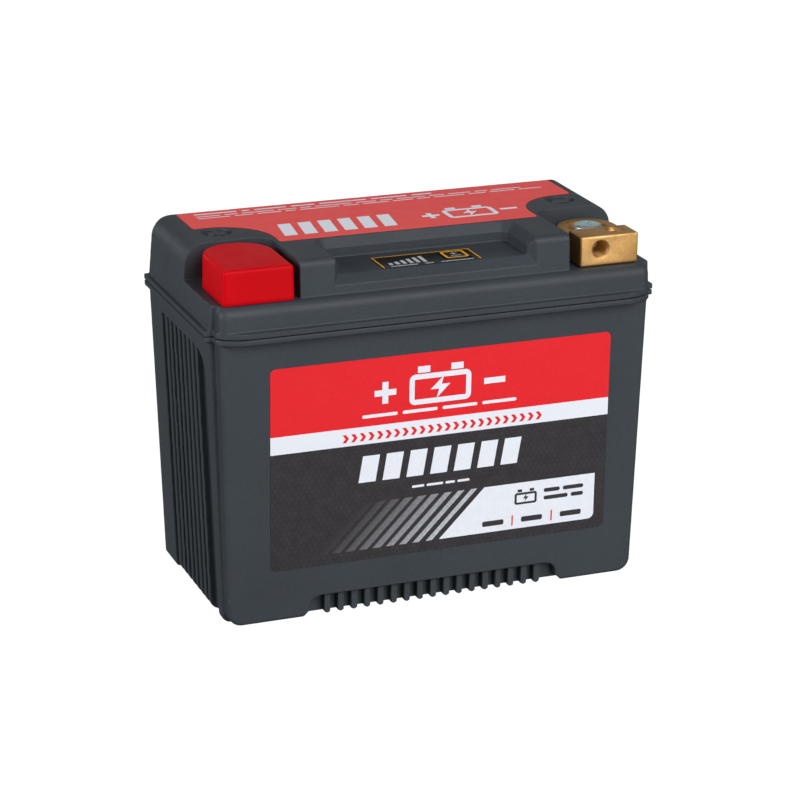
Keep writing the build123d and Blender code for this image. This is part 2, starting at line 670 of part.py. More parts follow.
# ---------------------------------------------------------------- write every node
PARTS = {
    "case": make_case(),
    "lid": make_lid(),
    "lid_seal": make_lid_seal(),
    "positive_terminal": make_terminal(-1),
    "negative_terminal": make_terminal(1),
    "terminal_screws": group([make_screw(side) for side in SIDES]),
    "terminal_washers": group([make_washer(side) for side in SIDES]),
    "terminal_inserts": group([make_insert(side) for side in SIDES]),
    "terminal_cap": make_terminal_cap(),
    "front_label": make_front_label(),
    "top_label": make_top_label(),
    "charge_label": make_charge_label(),
    "test_button": make_test_button(),
    "switch_plunger": make_switch_plunger(),
    "test_switch": make_test_switch(),
    "charge_lights": make_charge_lights(),
    "indicator_board": make_indicator_board(),
    "indicator_screws": make_indicator_screws(),
    "indicator_cable": make_indicator_cable(),
    "cell_tabs": make_cell_tabs(),
    "series_links": make_series_links(),
    "positive_strap": make_output_strap(-1),
    "negative_strap": make_output_strap(1),
    "cell_spacers": make_cell_spacers(),
    "end_pads": make_end_pads(),
    "base_pad": make_base_pad(),
    "cell_straps": make_cell_straps(),
    "management_board": make_management_board(),
    "board_standoffs": make_board_standoffs(),
    "power_transistors": make_power_transistors(),
    "balance_resistors": make_balance_resistors(),
    "sense_pins": make_sense_pins(),
}
for number in range(CELLS):
    PARTS[f"cell_{number + 1}"] = make_cell(number)

os.makedirs("parts", exist_ok=True)
for name, part in PARTS.items():
    export_step(part, f"parts/{name}.step")
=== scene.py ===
from math import cos, pi, radians, sin

import bmesh
import bpy
from mathutils import Euler, Matrix, Vector


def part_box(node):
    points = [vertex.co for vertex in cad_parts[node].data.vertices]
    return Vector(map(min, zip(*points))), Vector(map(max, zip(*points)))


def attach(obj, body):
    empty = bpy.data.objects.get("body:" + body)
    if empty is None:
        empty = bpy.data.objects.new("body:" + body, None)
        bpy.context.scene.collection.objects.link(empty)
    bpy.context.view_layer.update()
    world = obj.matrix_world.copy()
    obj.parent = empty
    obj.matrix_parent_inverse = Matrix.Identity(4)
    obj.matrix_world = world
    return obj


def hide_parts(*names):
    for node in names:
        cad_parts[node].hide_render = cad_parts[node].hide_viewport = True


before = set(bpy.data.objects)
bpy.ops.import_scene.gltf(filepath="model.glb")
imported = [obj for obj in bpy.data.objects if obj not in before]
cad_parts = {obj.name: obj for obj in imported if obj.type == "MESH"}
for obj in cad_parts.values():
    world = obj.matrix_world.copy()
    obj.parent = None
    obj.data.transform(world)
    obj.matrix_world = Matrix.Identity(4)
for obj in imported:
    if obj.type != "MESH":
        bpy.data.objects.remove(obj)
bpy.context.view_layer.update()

# A motorcycle battery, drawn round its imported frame. Drawing sizes are in millimetres, and
# MM turns them into the scene's metres. +X runs along the front, +Y to the back, +Z up.
MM = 0.001

# ---------------------------------------------------------------- camera and light
CAMERA_PLACE = (-339.13, -882.28, 391.43)
CAMERA_AZIMUTH = -21.07
CAMERA_ELEVATION = 19.18
CAMERA_ROLL = 0.38
CAMERA_LENS = 124.67

WORLD_STRENGTH = 0.12
FLOOR_SIZE = 6000
FLOOR_GLOW = 0.985          # the paper's own light; what it reflects brings it up to white
FLOOR_DROP = 0.05           # keeps the paper clear of the battery's underside
# name, place, aimed at, width and height, watts
SOFTBOXES = [
    ("key_light", (375, -1125, 960), (0, 0, 60), (900, 900), 18),
    ("front_light", (-60, -1400, 300), (0, 0, 60), (900, 600), 3.6),
    ("left_light", (-1235, -60, 420), (0, 0, 60), (700, 700), 12),
    ("table_light", (470, -1145, -260), (0, 0, 60), (1000, 800), 3),
    ("back_light", (430, 1100, 520), (0, 0, 100), (1200, 360), 0.55),
    ("rear_light", (140, 1500, 40), (0, 0, 40), (900, 160), 8),
]

# ---------------------------------------------------------------- finishes
BODY_COLOUR = (0.037, 0.045, 0.054)
RED_INK = (0.76, 0.011, 0.018)
# The top film's red is the front red made paler and pinker: a painted reflection of the light above.
TOP_RED_WITH_PAINTED_SHEEN = (0.82, 0.075, 0.07)
WHITE_INK = (0.78, 0.81, 0.88)
DARK_INK = (0.031, 0.027, 0.031)
YELLOW_INK = (0.78, 0.36, 0.01)
SILVER_INK = (0.5, 0.52, 0.55)
COMMON_NOISE = (0.3, 0.7)   # the span that a noise texture seldom leaves
HEXAGON = (2.1, 0.17)       # the front label's hexagons: across the flats, and their line width

# ---------------------------------------------------------------- sizes of the drawn pieces
WELD_REACH = 0.001
CASE_VOXEL = 0.34
LID_VOXEL = 0.25
SHELL_KEEP = 0.16           # share of a remeshed shell's faces that is kept

TERMINAL_BEVEL = 0.16
HOLE_RADIUS = 2.58          # of the two tapped holes in each terminal
THREAD_PITCH = 1.0
THREAD_DEPTH = 0.42
THREAD_START = 0.4          # how far inside its face each thread begins
FRONT_HOLE_SHIFT = 3.4      # from the terminal's middle, towards the battery's
FRONT_HOLE_Z = 123.0
FRONT_HOLE_DEPTH = 8.3
TOP_HOLE_SHIFT = 4.6        # from the terminal's middle, away from the battery's
TOP_HOLE_Y = -29.8
TOP_HOLE_DEPTH = 10.4

CAP_WALL = 0.7
CAP_EDGE = 1.1              # rounding between the cap's skirt and its top
CAP_DRAFT = 0.2
CAP_CROWN = 0.12            # how far the middle of its top stands over the edge
CAP_CORNER = 1.4            # rounding of its two front corners in plan
CAP_LIP = 0.3               # rounding of its open rim
CAP_BACK_STEPS = 32
CAP_SIDE_STEPS = 9
CAP_SKIRT_STEPS = 8
CAP_EDGE_STEPS = 7
CAP_TOP_STEPS = 7

LABEL_THICK = 0.2
INK_LIFT = 0.03             # height of an ink over its film
CORNER_STEPS = 6            # straight pieces in a quarter circle
RED_BAND = 24.6             # heights of the front label's red and white bands
WHITE_BAND = 6.5
PANEL_Z = (22.9, 40.4)      # foot and top of the front label's white panel and slanted stripes
PANEL_X = (1.1, 61.0)
PANEL_SLANT = 17.0


def corners(node):
    """A node's lowest and highest corners, in millimetres."""
    low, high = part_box(node)
    return low / MM, high / MM


# ---------------------------------------------------------------- shader helper
class Shader:
    """A node material with one Principled shader, built up call by call."""

    def __init__(self, name):
        self.material = bpy.data.materials.new(name)
        self.material.use_nodes = True
        self.tree = self.material.node_tree
        self.surface = self.tree.nodes["Principled BSDF"]
        self.place = self.node("ShaderNodeTexCoord").outputs["Object"]

    def node(self, kind, settings=None, **inputs):
        made = self.tree.nodes.new(kind)
        for key, value in (settings or {}).items():
            setattr(made, key, value)
        for key, value in inputs.items():
            self.feed(made, key.replace("_", " "), value)
        return made

    def feed(self, node, socket, value):
        target = node.inputs[int(socket)] if socket.isdigit() else node.inputs[socket]
        if isinstance(value, bpy.types.NodeSocket):
            self.tree.links.new(value, target)
        elif target.type == "RGBA" and len(value) == 3:
            target.default_value = (*value, 1.0)
        else:
            target.default_value = value

    def math(self, operation, *values):
        made = self.node("ShaderNodeMath", {"operation": operation})
        for index, value in enumerate(values):
            self.feed(made, str(index), value)
        return made.outputs[0]

    def vector(self, operation, *values, out="Vector"):
        made = self.node("ShaderNodeVectorMath", {"operation": operation})
        for index, value in enumerate(values):
            self.feed(made, str(index), value)
        return made.outputs[out]

    def axes(self):
        made = self.node("ShaderNodeSeparateXYZ", Vector=self.place)
        return made.outputs

    def noise(self, scale, detail=2.0, roughness=0.5, stretch=None):
        place = self.place
        if stretch:
            place = self.vector("MULTIPLY", place, stretch)
        made = self.node("ShaderNodeTexNoise", Vector=place, Scale=scale, Detail=detail,
                         Roughness=roughness)
        return made.outputs["Fac"]

    def fit(self, value, low, high, to_low=0.0, to_high=1.0):
        made = self.node("ShaderNodeMapRange", Value=value)
        sockets = ("From Min", "From Max", "To Min", "To Max")
        for socket, number in zip(sockets, (low, high, to_low, to_high)):
            made.inputs[socket].default_value = number
        return made.outputs["Result"]

    def mix(self, factor, first, second):
        """Two colours mixed. A Mix node takes colours at sockets 6 and 7 and gives one at 2."""
        made = self.node("ShaderNodeMix", {"data_type": "RGBA"})
        self.feed(made, "0", factor)
        self.feed(made, "6", first)
        self.feed(made, "7", second)
        return made.outputs[2]

    def bump(self, height, distance, strength=1.0, normal=None):
        made = self.node("ShaderNodeBump", Height=height, Distance=distance * MM, Strength=strength)
        if normal:
            self.feed(made, "Normal", normal)
        return made.outputs["Normal"]

    def finish(self, **inputs):
        for key, value in inputs.items():
            self.feed(self.surface, key.replace("_", " "), value)
        return self.material


def shaded(colour, amount):
    """A colour made lighter or darker by a factor."""
    return tuple(channel * amount for channel in colour)


# ---------------------------------------------------------------- materials
def moulded_plastic(name, colour, roughness=0.5):
    """Matte moulded plastic with a fine sparked grain, a painted highlight on its convex edges and
    faint scuffs.
    """
    shader = Shader(name)
    grain = shader.noise(scale=2600.0, detail=3.0, roughness=0.6)
    clouds = shader.noise(scale=22.0, detail=4.0)
    specks = shader.noise(scale=1100.0, detail=3.0, roughness=0.7)
    tone = shader.math("ADD", clouds, specks)
    base = shader.mix(shader.fit(tone, 0.7, 1.3), shaded(colour, 0.87), shaded(colour, 1.14))
    # Convex edges, found by pointiness and broken up by noise, are painted paler: a painted highlight
    # standing in for light catching the edges.
    point = shader.node("ShaderNodeNewGeometry").outputs["Pointiness"]
    patches = shader.fit(shader.noise(scale=300.0), *COMMON_NOISE)
    painted_edge_highlight = shader.math("MULTIPLY", shader.fit(point, 0.52, 0.62), patches)
    base = shader.mix(shader.math("MULTIPLY", painted_edge_highlight, 0.5), base, shaded(colour, 2.2))
    peel = shader.noise(scale=420.0, detail=1.0)
    normal = shader.bump(grain, distance=0.045, strength=0.85)
    normal = shader.bump(peel, distance=0.05, strength=0.35, normal=normal)
    scuff = shader.noise(scale=90.0, detail=6.0, roughness=0.7)
    gloss = shader.math("ADD", scuff, shader.math("MULTIPLY", grain, 0.4))
    rough = shader.fit(gloss, 0.4, 1.0, roughness - 0.07, roughness + 0.08)
    return shader.finish(Base_Color=base, Roughness=rough, Normal=normal, Specular_IOR_Level=0.22)


def printed_ink(name, colour, roughness=0.38):
    """Printing ink on film, with a slight mottle in colour and gloss."""
    shader = Shader(name)
    mottle = shader.noise(scale=900.0, detail=3.0)
    base = shader.mix(shader.fit(mottle, *COMMON_NOISE), shaded(colour, 0.965), shaded(colour, 1.03))
    gloss = shader.noise(scale=160.0, detail=4.0)
    rough = shader.fit(gloss, *COMMON_NOISE, roughness - 0.04, roughness + 0.05)
    normal = shader.bump(shader.noise(scale=1500.0, detail=2.0), distance=0.006, strength=0.5)
    return shader.finish(Base_Color=base, Roughness=rough, Normal=normal, Specular_IOR_Level=0.2)


def cast_brass(name):
    """Brass with a pressed, faintly sandy skin and darker specks."""
    shader = Shader(name)
    sand = shader.noise(scale=1900.0, detail=4.0, roughness=0.65)
    tone = shader.noise(scale=120.0, detail=5.0, roughness=0.6)
    base = shader.mix(shader.fit(tone, *COMMON_NOISE), (0.6, 0.345, 0.12), (0.7, 0.43, 0.17))
    base = shader.mix(shader.fit(sand, 0.5, 0.68, 0.0, 0.5), base, (0.4, 0.21, 0.065))
    streak = shader.noise(scale=500.0, detail=2.0, stretch=(1.0, 1.0, 0.12))
    rough = shader.fit(shader.math("ADD", sand, streak), 0.7, 1.3, 0.42, 0.6)
    normal = shader.bump(sand, distance=0.08, strength=0.7)
    return shader.finish(Base_Color=base, Roughness=rough, Normal=normal, Metallic=1.0)


def plated_steel(name):
    """Clear zinc plate: pale blue-grey metal with a soft spangle."""
    shader = Shader(name)
    spangle = shader.node("ShaderNodeTexVoronoi", Vector=shader.place, Scale=900.0).outputs["Distance"]
    tone = shader.fit(shader.noise(scale=240.0, detail=4.0), *COMMON_NOISE)
    base = shader.mix(tone, (0.62, 0.8, 0.82), (0.86, 0.98, 0.98))
    rough = shader.fit(spangle, 0.0, 0.8, 0.3, 0.46)
    normal = shader.bump(shader.noise(scale=1800.0, detail=2.0), distance=0.012, strength=0.4)
    return shader.finish(Base_Color=base, Roughness=rough, Normal=normal, Metallic=1.0)


def soft_vinyl(name):
    """Red dipped vinyl: even, a little translucent, with a soft satin grain."""
    shader = Shader(name)
    tone = shader.noise(scale=35.0, detail=3.0)
    base = shader.mix(shader.fit(tone, *COMMON_NOISE), (0.53, 0.0002, 0.004), (0.58, 0.0004, 0.006))
    grain = shader.noise(scale=1500.0, detail=3.0)
    normal = shader.bump(grain, distance=0.03, strength=0.5)
    rough = shader.fit(shader.noise(scale=120.0, detail=5.0), *COMMON_NOISE, 0.42, 0.52)
    return shader.finish(
        Base_Color=base, Roughness=rough, Normal=normal, Specular_IOR_Level=0.07,
        Subsurface_Weight=0.04, Subsurface_Scale=0.001, Subsurface_Radius=(1.0, 0.25, 0.15))


def hexagon_edges(shader):
    """1 on the thin lines of a hexagon mesh drawn in X and Z, 0 inside each hexagon."""
    axes = shader.axes()
    flat = shader.node("ShaderNodeCombineXYZ", X=axes["X"], Y=axes["Z"]).outputs[0]
    across, width = HEXAGON
    size = across * MM
    root_three = 3 ** 0.5
    cell = (size, size * root_three, 1.0)
    half = tuple(value / 2 for value in cell)
    minus = tuple(-value for value in half)
    first = shader.vector("WRAP", flat, half, minus)
    second = shader.vector("WRAP", shader.vector("SUBTRACT", flat, half), half, minus)

    def reach(place):
        folded = shader.vector("ABSOLUTE", place)
        level = shader.vector("DOT_PRODUCT", folded, (1.0, 0.0, 0.0), out="Value")
        slope = shader.vector("DOT_PRODUCT", folded, (0.5, root_three / 2, 0.0), out="Value")
        return shader.math("MAXIMUM", level, slope)

    nearest = shader.math("MINIMUM", reach(first), reach(second))
    return shader.fit(nearest, (across / 2 - width) * MM, (across / 2 - width * 0.4) * MM)


def front_film(name, red_foot, white_foot):
    """The printed front label: red over a white stripe over a dark field of faint hexagons."""
    shader = Shader(name)
    height = shader.axes()["Z"]
    lines = hexagon_edges(shader)
    mottle = shader.noise(scale=900.0, detail=3.0)
    cell_tone = shader.fit(shader.noise(scale=260.0, detail=1.0), *COMMON_NOISE)
    dark = shader.mix(cell_tone, shaded(DARK_INK, 0.85), shaded(DARK_INK, 1.15))
    dark = shader.mix(shader.math("MULTIPLY", lines, 0.6), dark, shaded(DARK_INK, 0.45))
    red = shader.mix(shader.fit(mottle, *COMMON_NOISE), shaded(RED_INK, 0.96), shaded(RED_INK, 1.03))
    colour = shader.mix(shader.math("GREATER_THAN", height, white_foot * MM), dark, WHITE_INK)
    colour = shader.mix(shader.math("GREATER_THAN", height, red_foot * MM), colour, red)
    rough = shader.fit(shader.noise(scale=160.0, detail=4.0), *COMMON_NOISE, 0.34, 0.43)
    normal = shader.bump(shader.noise(scale=1500.0, detail=2.0), distance=0.006, strength=0.5)
    return shader.finish(Base_Color=colour, Roughness=rough, Normal=normal, Specular_IOR_Level=0.2)


def fading_ink(name, start, end, foot, lean):
    """Ink for slanted stripes that fade into the dark field, from one X to another at their foot."""
    shader = Shader(name)
    axes = shader.axes()
    rise = shader.math("SUBTRACT", axes["Z"], foot * MM)
    place = shader.math("SUBTRACT", axes["X"], shader.math("MULTIPLY", rise, lean))
    fade = shader.math("POWER", shader.fit(place, start * MM, end * MM), 1.6)
    mottle = shader.fit(shader.noise(scale=1200.0, detail=3.0), 0.35, 0.65, 0.6, 0.74)
    lines = shader.fit(hexagon_edges(shader), 0.0, 1.0, 1.0, 0.75)
    mottle = shader.math("MULTIPLY", mottle, lines)
    colour = shader.mix(shader.math("MULTIPLY", fade, mottle), DARK_INK, WHITE_INK)
    rough = shader.fit(shader.noise(scale=160.0, detail=4.0), *COMMON_NOISE, 0.34, 0.43)
    return shader.finish(Base_Color=colour, Roughness=rough, Specular_IOR_Level=0.2)


def plain_finish(name, colour, roughness, metallic=0.0, grain=900.0, depth=0.02, spread=0.12):
    """A simple finish with grain in its colour, gloss and surface, for the inner pieces."""
    shader = Shader(name)
    tone = shader.noise(grain, detail=3.0)
    paleness = shader.fit(tone, *COMMON_NOISE)
    base = shader.mix(paleness, shaded(colour, 1 - spread), shaded(colour, 1 + spread))
    rough = shader.fit(tone, *COMMON_NOISE, roughness - 0.06, roughness + 0.06)
    normal = shader.bump(tone, distance=depth, strength=0.5)
    return shader.finish(Base_Color=base, Roughness=rough, Normal=normal, Metallic=metallic)


def circuit_finish(name):
    """Green solder mask with the tracks showing through it."""
    shader = Shader(name)
    tracks = shader.node("ShaderNodeTexBrick", {"offset": 0.35}, Vector=shader.place, Scale=260.0)
    tracks.inputs["Mortar Size"].default_value = 0.03
    tracks.inputs["Color1"].default_value = (0.006, 0.09, 0.03, 1.0)
    tracks.inputs["Color2"].default_value = (0.008, 0.12, 0.04, 1.0)
    tracks.inputs["Mortar"].default_value = (0.03, 0.2, 0.07, 1.0)
    rough = shader.fit(shader.noise(scale=400.0), *COMMON_NOISE, 0.25, 0.4)
    normal = shader.bump(tracks.outputs["Fac"], distance=0.03, strength=0.6)
    return shader.finish(Base_Color=tracks.outputs["Color"], Roughness=rough, Normal=normal)


def woven_finish(name, colour):
    """Woven tape."""
    shader = Shader(name)
    wave = shader.node("ShaderNodeTexWave", {"bands_direction": "Z"}, Vector=shader.place, Scale=420.0)
    weave = wave.outputs["Fac"]
    base = shader.mix(weave, shaded(colour, 0.7), shaded(colour, 1.1))
    rough = shader.fit(shader.noise(scale=700.0), *COMMON_NOISE, 0.7, 0.85)
    normal = shader.bump(weave, distance=0.08, strength=0.8)
    return shader.finish(Base_Color=base, Roughness=rough, Normal=normal)


# ---------------------------------------------------------------- making pieces
def add_piece(name, mesh, material, body="root", smooth=30):
    """A new object that rides on a CAD body, with its material and shading set."""
    piece = bpy.data.objects.new(name, mesh)
    bpy.context.scene.collection.objects.link(piece)
    mesh.materials.clear()
    mesh.materials.append(material)
    mesh.shade_flat()
    if smooth:
        mesh.shade_smooth()
        mesh.set_sharp_from_angle(angle=radians(smooth))
    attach(piece, body)
    return piece


def evaluated(source, modifiers):
    """A new mesh: the source's mesh after a list of modifiers, each a kind and its settings."""
    helper = bpy.data.objects.new("helper", source.data.copy())
    bpy.context.scene.collection.objects.link(helper)
    for kind, settings in modifiers:
        modifier = helper.modifiers.new(kind, kind)
        for key, value in settings.items():
            setattr(modifier, key, value)
    graph = bpy.context.evaluated_depsgraph_get()
    mesh = bpy.data.meshes.new_from_object(helper.evaluated_get(graph))
    bpy.data.objects.remove(helper)
    return mesh


def softened_shell(name, node, material, voxel):
    """A moulded shell drawn from its CAD node, with every edge softly rounded by moulding."""
    mesh = evaluated(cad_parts[node], [
        ("WELD", {"merge_threshold": WELD_REACH * MM}),
        ("REMESH", {"mode": "VOXEL", "voxel_size": voxel * MM}),
        ("SMOOTH", {"iterations": 1, "factor": 0.5}),
        ("DECIMATE", {"ratio": SHELL_KEEP}),
    ])
    piece = add_piece(name, mesh, material, smooth=60)
    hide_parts(node)


def grid_mesh(name, rings):
    """A closed mesh through rings of points, each ring a loop of the same length."""
    mesh = bpy.data.meshes.new(name)
    build = bmesh.new()
    loops = [[build.verts.new(Vector(point) * MM) for point in ring] for ring in rings]
    count = len(rings[0])
    for lower, upper in zip(loops, loops[1:]):
        for index in range(count):
            after = (index + 1) % count
            build.faces.new((lower[index], lower[after], upper[after], upper[index]))
    build.faces.new(loops[0][::-1])
    build.faces.new(loops[-1])
    bmesh.ops.recalc_face_normals(build, faces=build.faces)
    build.to_mesh(mesh)
    build.free()
    return mesh


def thread_cutter(length, axis, mouth):
    """A short-lived solid shaped like a screw thread, used to cut a tapped hole."""
    around, per_pitch = 40, 10
    rows = int(length / THREAD_PITCH * per_pitch)
    turn = axis.to_track_quat("Z", "X").to_matrix()
    rings = []
    for row in range(rows + 1):
        ring = []
        along = length * row / rows
        for step in range(around):
            angle = 2 * pi * step / around
            phase = (along / THREAD_PITCH - step / around) % 1.0
            reach = HOLE_RADIUS + THREAD_DEPTH * (1 - abs(2 * phase - 1))
            point = Vector((reach * cos(angle), reach * sin(angle), along))
            ring.append(Vector(mouth) + turn @ point)
        rings.append(ring)
    cutter = bpy.data.objects.new("cutter", grid_mesh("cutter", rings))
    bpy.context.scene.collection.objects.link(cutter)
    return cutter


def rounded_loop(x0, y0, x1, y1, radius):
    """A rectangle's outline with rounded corners, as a list of points."""
    points = []
    centres = ((x1 - radius, y1 - radius), (x0 + radius, y1 - radius),
               (x0 + radius, y0 + radius), (x1 - radius, y0 + radius))
    for quarter, (cx, cy) in enumerate(centres):
        for step in range(CORNER_STEPS + 1):
            angle = (quarter + step / CORNER_STEPS) * pi / 2
            points.append((cx + radius * cos(angle), cy + radius * sin(angle)))
    return points


# ---------------------------------------------------------------- printed shapes
class PrintedFace:
    """A flat printed face: where drawing point (0, 0) lies, its two directions and its normal."""

    def __init__(self, origin, right, up):
        self.origin = Vector(origin)
        self.right = Vector(right)
        self.up = Vector(up)
        self.normal = self.right.cross(self.up).normalized()

    def at(self, point, lift):
        return self.origin + self.right * point[0] + self.up * point[1] + self.normal * lift


def print_shapes(name, face, shapes, material, body="root", lift=INK_LIFT):
    """Flat inked shapes. Each is one outline, or an outer and an inner outline of equal length."""
    mesh = bpy.data.meshes.new(name)
    build = bmesh.new()
    for shape in shapes:
        loops = [[build.verts.new(face.at(point, lift) * MM) for point in loop] for loop in shape]
        if len(loops) == 1:
            build.faces.new(loops[0])
            continue
        outer, inner = loops
        for index in range(len(outer)):
            after = (index + 1) % len(outer)
            build.faces.new((outer[index], outer[after], inner[after], inner[index]))
    bmesh.ops.recalc_face_normals(build, faces=build.faces)
    for each in build.faces:
        each.normal_update()
        if each.normal.dot(face.normal) < 0:
            each.normal_flip()
    build.to_mesh(mesh)
    build.free()
    add_piece(name, mesh, material, body=body, smooth=0)


def bar(x0, y0, x1, y1, radius=0.0):
    """A filled bar, square or with rounded corners."""
    if radius:
        return [rounded_loop(x0, y0, x1, y1, radius)]
    return [[(x0, y0), (x1, y0), (x1, y1), (x0, y1)]]


def slanted_bar(x, y0, y1, width, lean):
    """A filled bar whose top is shifted sideways."""
    return [[(x, y0), (x + width, y0), (x + width + lean, y1), (x + lean, y1)]]


def frame_shape(x0, y0, x1, y1, radius, thick):
    """A rounded rectangle's outline of a given thickness."""
    inner = max(radius - thick, 0.05)
    return [rounded_loop(x0, y0, x1, y1, radius),
            rounded_loop(x0 + thick, y0 + thick, x1 - thick, y1 - thick, inner)]


def bolt_shape(x, y, width, height):
    """A lightning bolt with its middle at a point."""
    outline = [(0.18, 0.5), (-0.5, -0.08), (-0.06, -0.08), (-0.2, -0.5), (0.5, 0.12), (0.06, 0.12)]
    return [[(x + across * width, y + along * height) for across, along in outline]]


def battery_sign(x, y, width, height, thick):
    """A battery pictogram: a rounded case outline with two terminals on top."""
    low, top = y - height / 2, y + height / 2 - thick * 1.3
    shapes = [frame_shape(x - width / 2, low, x + width / 2, top, height * 0.16, thick)]
    post_foot, post_top = top + thick * 0.25, top + thick * 1.5
    for side in (-1, 1):
        middle = x + side * width * 0.27
        shapes.append(bar(middle - width * 0.1, post_foot, middle + width * 0.1, post_top))
    return shapes


def plus_sign(x, y, size, thick):
    """A plus sign with its middle at a point."""
    half, bar_half = size / 2, thick / 2
    return [[(x - bar_half, y - half), (x + bar_half, y - half), (x + bar_half, y - bar_half),
             (x + half, y - bar_half), (x + half, y + bar_half), (x + bar_half, y + bar_half),
             (x + bar_half, y + half), (x - bar_half, y + half), (x - bar_half, y + bar_half),
             (x - half, y + bar_half), (x - half, y - bar_half), (x - bar_half, y - bar_half)]]


def minus_sign(x, y, size, thick):
    """A minus sign with its middle at a point."""
    return bar(x - size / 2, y - thick / 2, x + size / 2, y + thick / 2)


def dashes(x0, y0, height, lengths, gap):
    """A row of short rounded rules."""
    row = []
    x = x0
    for length in lengths:
        row.append(bar(x, y0, x + length, y0 + height, height * 0.45))
        x += length + gap
    return row


# ---------------------------------------------------------------- the battery's pieces
def make_shells():
    """The case and the lid, in one plastic."""
    plastic = moulded_plastic("case_plastic", BODY_COLOUR)
    softened_shell("case_shell", "case", plastic, CASE_VOXEL)
    softened_shell("lid_shell", "lid", plastic, LID_VOXEL)


def cut_thread(piece, mouth, axis, length):
    """Cuts a screw thread into a piece, from a point along an axis."""
    cutter = thread_cutter(length, axis, mouth)
    cut = piece.modifiers.new("thread", "BOOLEAN")
    cut.operation = "DIFFERENCE"
    cut.object = cutter
    graph = bpy.context.evaluated_depsgraph_get()
    piece.data = bpy.data.meshes.new_from_object(piece.evaluated_get(graph))
    piece.modifiers.clear()
    bpy.data.objects.remove(cutter)


def make_terminal(name, node, side, brass):
    """A brass terminal with real threads cut in its two tapped holes."""
    rounding = {
        "width": TERMINAL_BEVEL * MM,
        "segments": 2,
        "limit_method": "ANGLE",
        "angle_limit": radians(35),
        "use_clamp_overlap": False,
    }
    mesh = evaluated(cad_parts[node], [
        ("WELD", {"merge_threshold": WELD_REACH * MM}),
        ("BEVEL", rounding),
    ])
    low, high = corners(node)
    middle = (low.x + high.x) / 2
    front_mouth = (middle - side * FRONT_HOLE_SHIFT, low.y + THREAD_START, FRONT_HOLE_Z)
    top_mouth = (middle + side * TOP_HOLE_SHIFT, TOP_HOLE_Y, high.z - THREAD_START)
    piece = add_piece(name, mesh, brass)
    cut_thread(piece, front_mouth, Vector((0, 1, 0)), FRONT_HOLE_DEPTH)
    cut_thread(piece, top_mouth, Vector((0, 0, -1)), TOP_HOLE_DEPTH)
    piece.data.set_sharp_from_angle(angle=radians(30))
    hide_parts(node)


def cap_ring(inset, z, low, high):
    """The cap's outline at one height: square at the front, round at the back."""
    x0, x1 = low.x + inset, high.x - inset
    front = low.y + inset
    radius = (x1 - x0) / 2
    centre_x, centre_y = (x0 + x1) / 2, high.y - inset - radius
    corner = max(CAP_CORNER - inset, 0.3)
    between = range(1, CAP_SIDE_STEPS)
    ring = []
    for step in range(CAP_BACK_STEPS + 1):
        angle = pi * step / CAP_BACK_STEPS
        ring.append((centre_x + radius * cos(angle), centre_y + radius * sin(angle), z))
    for step in between:
        ring.append((x0, centre_y + (front + corner - centre_y) * step / CAP_SIDE_STEPS, z))
    for start, corner_x in ((pi, x0 + corner), (1.5 * pi, x1 - corner)):
        for step in range(CORNER_STEPS + 1):
            angle = start + step / CORNER_STEPS * pi / 2
            ring.append((corner_x + corner * cos(angle), front + corner + corner * sin(angle), z))
        if start == pi:
            for step in between:
                x = x0 + corner + (x1 - x0 - 2 * corner) * step / CAP_SIDE_STEPS
                ring.append((x, front, z))
    for step in between:
        ring.append((x1, front + corner + (centre_y - front - corner) * step / CAP_SIDE_STEPS, z))
    return ring


def make_cap():
    """The soft red cap: a hollow shell with a drafted skirt, rolled edges and a slightly full top."""
    low, high = corners("terminal_cap")
    rim_z, lip_z = low.z + CAP_LIP / 2, low.z + CAP_LIP
    plateau = high.z - CAP_CROWN
    shoulder = plateau - CAP_EDGE
    outline = [
        (CAP_WALL + CAP_DRAFT * 0.8, plateau - CAP_WALL),
        (CAP_WALL, rim_z),
        (CAP_WALL * 0.8, low.z),
        (0.25, low.z),
        (0.0, lip_z),
    ]
    for step in range(1, CAP_SKIRT_STEPS + 1):
        share = step / CAP_SKIRT_STEPS
        outline.append((CAP_DRAFT * share, lip_z + (shoulder - lip_z) * share))
    for step in range(1, CAP_EDGE_STEPS + 1):
        angle = step / CAP_EDGE_STEPS * pi / 2
        outline.append((CAP_DRAFT + CAP_EDGE * (1 - cos(angle)), shoulder + CAP_EDGE * sin(angle)))
    rings = [cap_ring(inset, z, low, high) for inset, z in outline]
    rim = rings[-1]
    centre = (low + high) / 2
    for step in range(1, CAP_TOP_STEPS):
        share = 1 - step / CAP_TOP_STEPS
        z = plateau + CAP_CROWN * (1 - share ** 2)
        rings.append([
            (centre.x + (x - centre.x) * share, centre.y + (y - centre.y) * share, z)
            for x, y, _ in rim])
    vinyl = soft_vinyl("red_vinyl")
    mesh = grid_mesh("cap", rings)
    piece = add_piece("cap_skin", mesh, vinyl, body="terminal_cap", smooth=50)
    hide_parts("terminal_cap")


def chevron(x, foot, top, stroke, reach):
    """A small arrow head that points along +X."""
    middle = (foot + top) / 2
    right, notch, tip = x + stroke, x + reach, x + stroke + reach
    return [[(x, foot), (right, foot), (tip, middle), (right, top), (x, top), (notch, middle)]]


def emblem_shapes(foot):
    """A battery with a bolt, between a plus and a minus sign, over a row of rules."""
    sign_y = foot + 11.6
    shapes = battery_sign(x=0.6, y=foot + 12.6, width=23.0, height=13.6, thick=1.9)
    shapes.append(bolt_shape(x=0.6, y=foot + 11.5, width=7.4, height=8.2))
    shapes.append(plus_sign(x=-19.8, y=sign_y, size=8.0, thick=2.2))
    shapes.append(minus_sign(x=21.0, y=sign_y, size=8.0, thick=2.2))
    return shapes + dashes(x0=-28.2, y0=foot + 3.0, height=1.2, lengths=[13.0] * 4, gap=1.9)


